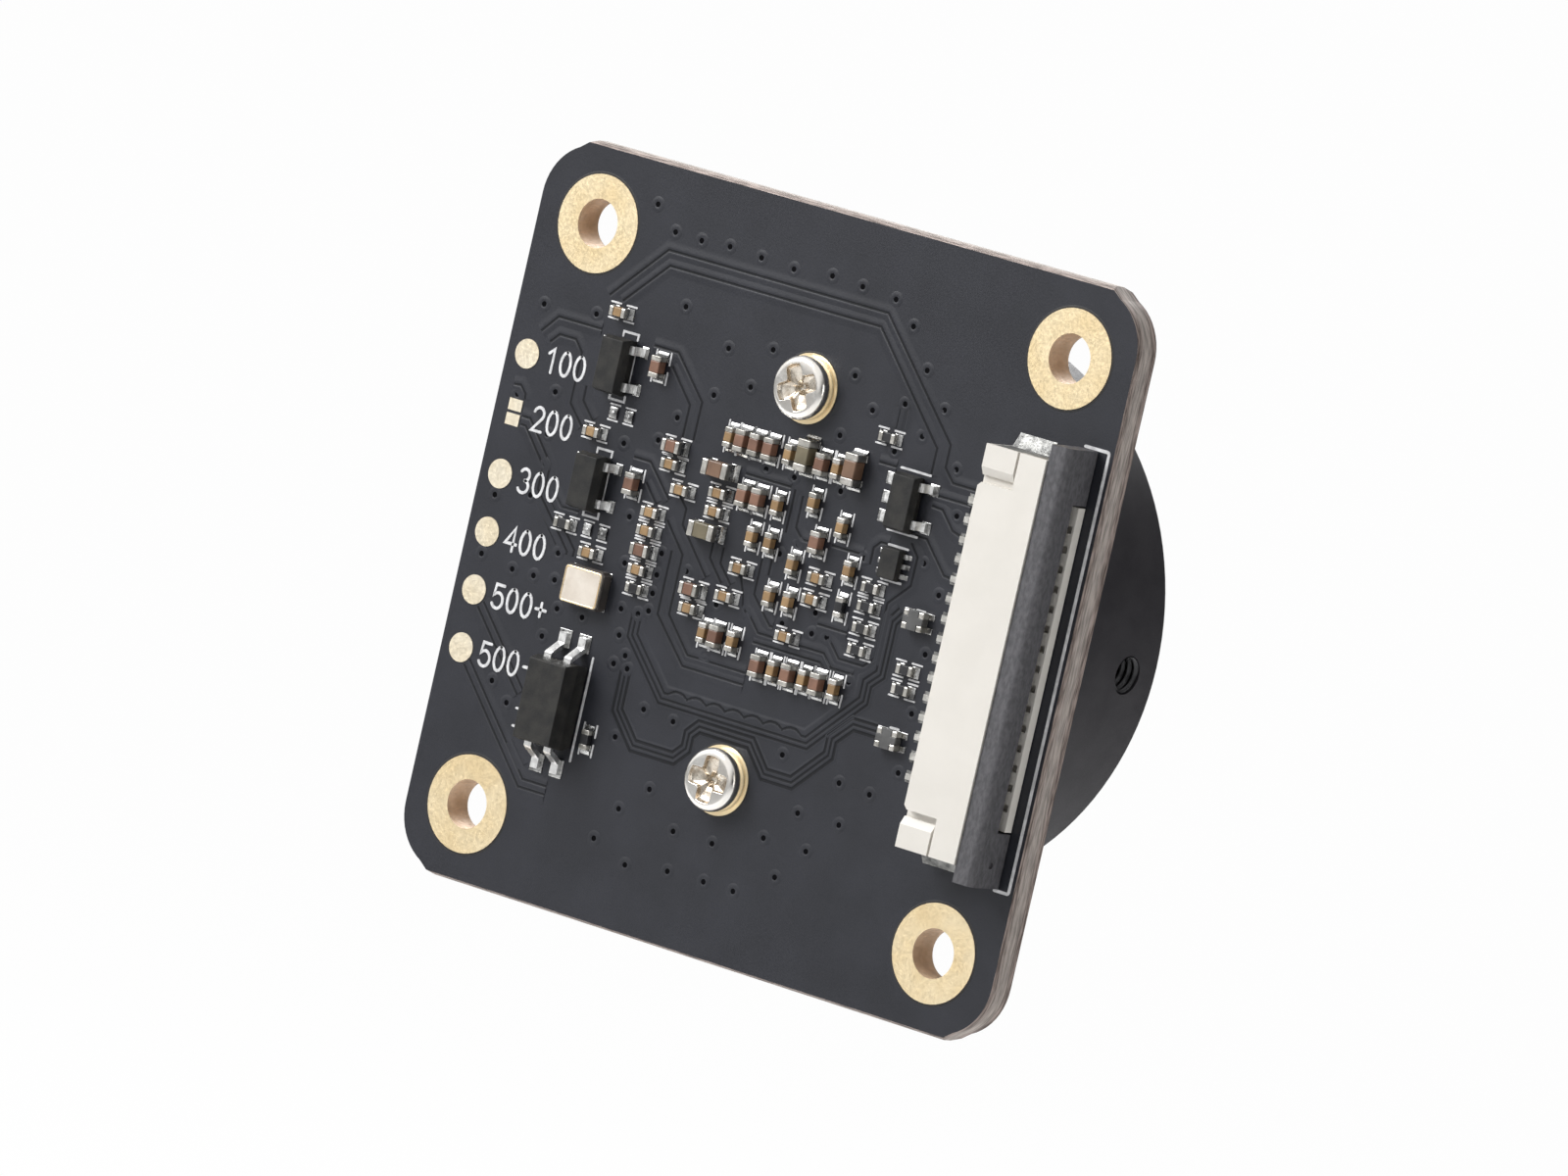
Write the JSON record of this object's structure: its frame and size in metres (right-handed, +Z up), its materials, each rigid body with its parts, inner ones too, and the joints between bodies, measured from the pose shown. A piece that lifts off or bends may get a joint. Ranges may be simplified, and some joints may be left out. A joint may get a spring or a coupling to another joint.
{
  "type": "board camera module",
  "caption": "Square circuit board with a cylindrical lens mount on one side and a flat-cable connector with a sliding lock among small parts on the other.",
  "frame": {"origin": "centre of the four board mounting holes, on the board's component face", "axes": "+Z up the board, -Y out of the component side, +Y out of the lens mount, +X towards the cable connector"},
  "size_m": [0.0378, 0.0166, 0.038],
  "materials": {
    "solder_mask": "satin dark solder mask",
    "gold_plating": "satin gold plating",
    "black_anodised": "fine matt black anodising",
    "nickel": "bright nickel plating",
    "filter_coating": "polished glass",
    "sensor_ceramic": "matt ceramic",
    "silicon": "polished silicon",
    "clear_glass": "polished glass",
    "ivory_plastic": "moulded, slightly glossy",
    "black_plastic": "moulded, matt",
    "contact_metal": "plated spring metal",
    "tin": "bright tin",
    "ic_plastic": "matt moulding compound",
    "dark_ceramic": "matt ceramic",
    "gold_lid": "satin plated lid",
    "array_grey": "matt coating",
    "tan_ceramic": "fired ceramic",
    "brown_ceramic": "fired ceramic",
    "olive_ceramic": "fired ceramic"
  },
  "bodies": {
    "module": {"circuit_board": "solder_mask", "hole_rings": "gold_plating", "screw_pads": "gold_plating", "test_pads": "gold_plating", "lens_mount": "black_anodised", "mount_screws": "nickel", "filter_glass": "filter_coating", "sensor_package": "sensor_ceramic", "sensor_die": "silicon", "sensor_cover_glass": "clear_glass", "connector_housing": "ivory_plastic", "connector_contacts": "contact_metal", "connector_anchors": "tin", "connector_pads": "tin", "regulator_bodies": "ic_plastic", "regulator_leads": "tin", "switch_body": "ic_plastic", "switch_leads": "tin", "optocoupler_body": "ic_plastic", "optocoupler_leads": "tin", "oscillator_base": "dark_ceramic", "oscillator_lid": "gold_lid", "lead_pads": "tin", "array_bodies": "array_grey", "array_corners": "tin", "small_capacitors": "tan_ceramic", "medium_capacitors": "brown_ceramic", "large_capacitors": "brown_ceramic", "filter_capacitors": "olive_ceramic", "resistors": "dark_ceramic", "chip_ends": "tin", "chip_solder": "tin", "empty_pads": "tin"},
    "slider": {"connector_slider": "black_plastic"}
  },
  "joints": [
    {"name": "slider_lock", "type": "slide", "parent": "module", "child": "slider", "axis": [1, 0, 0], "range_m": [0, 0.0011]}
  ]
}
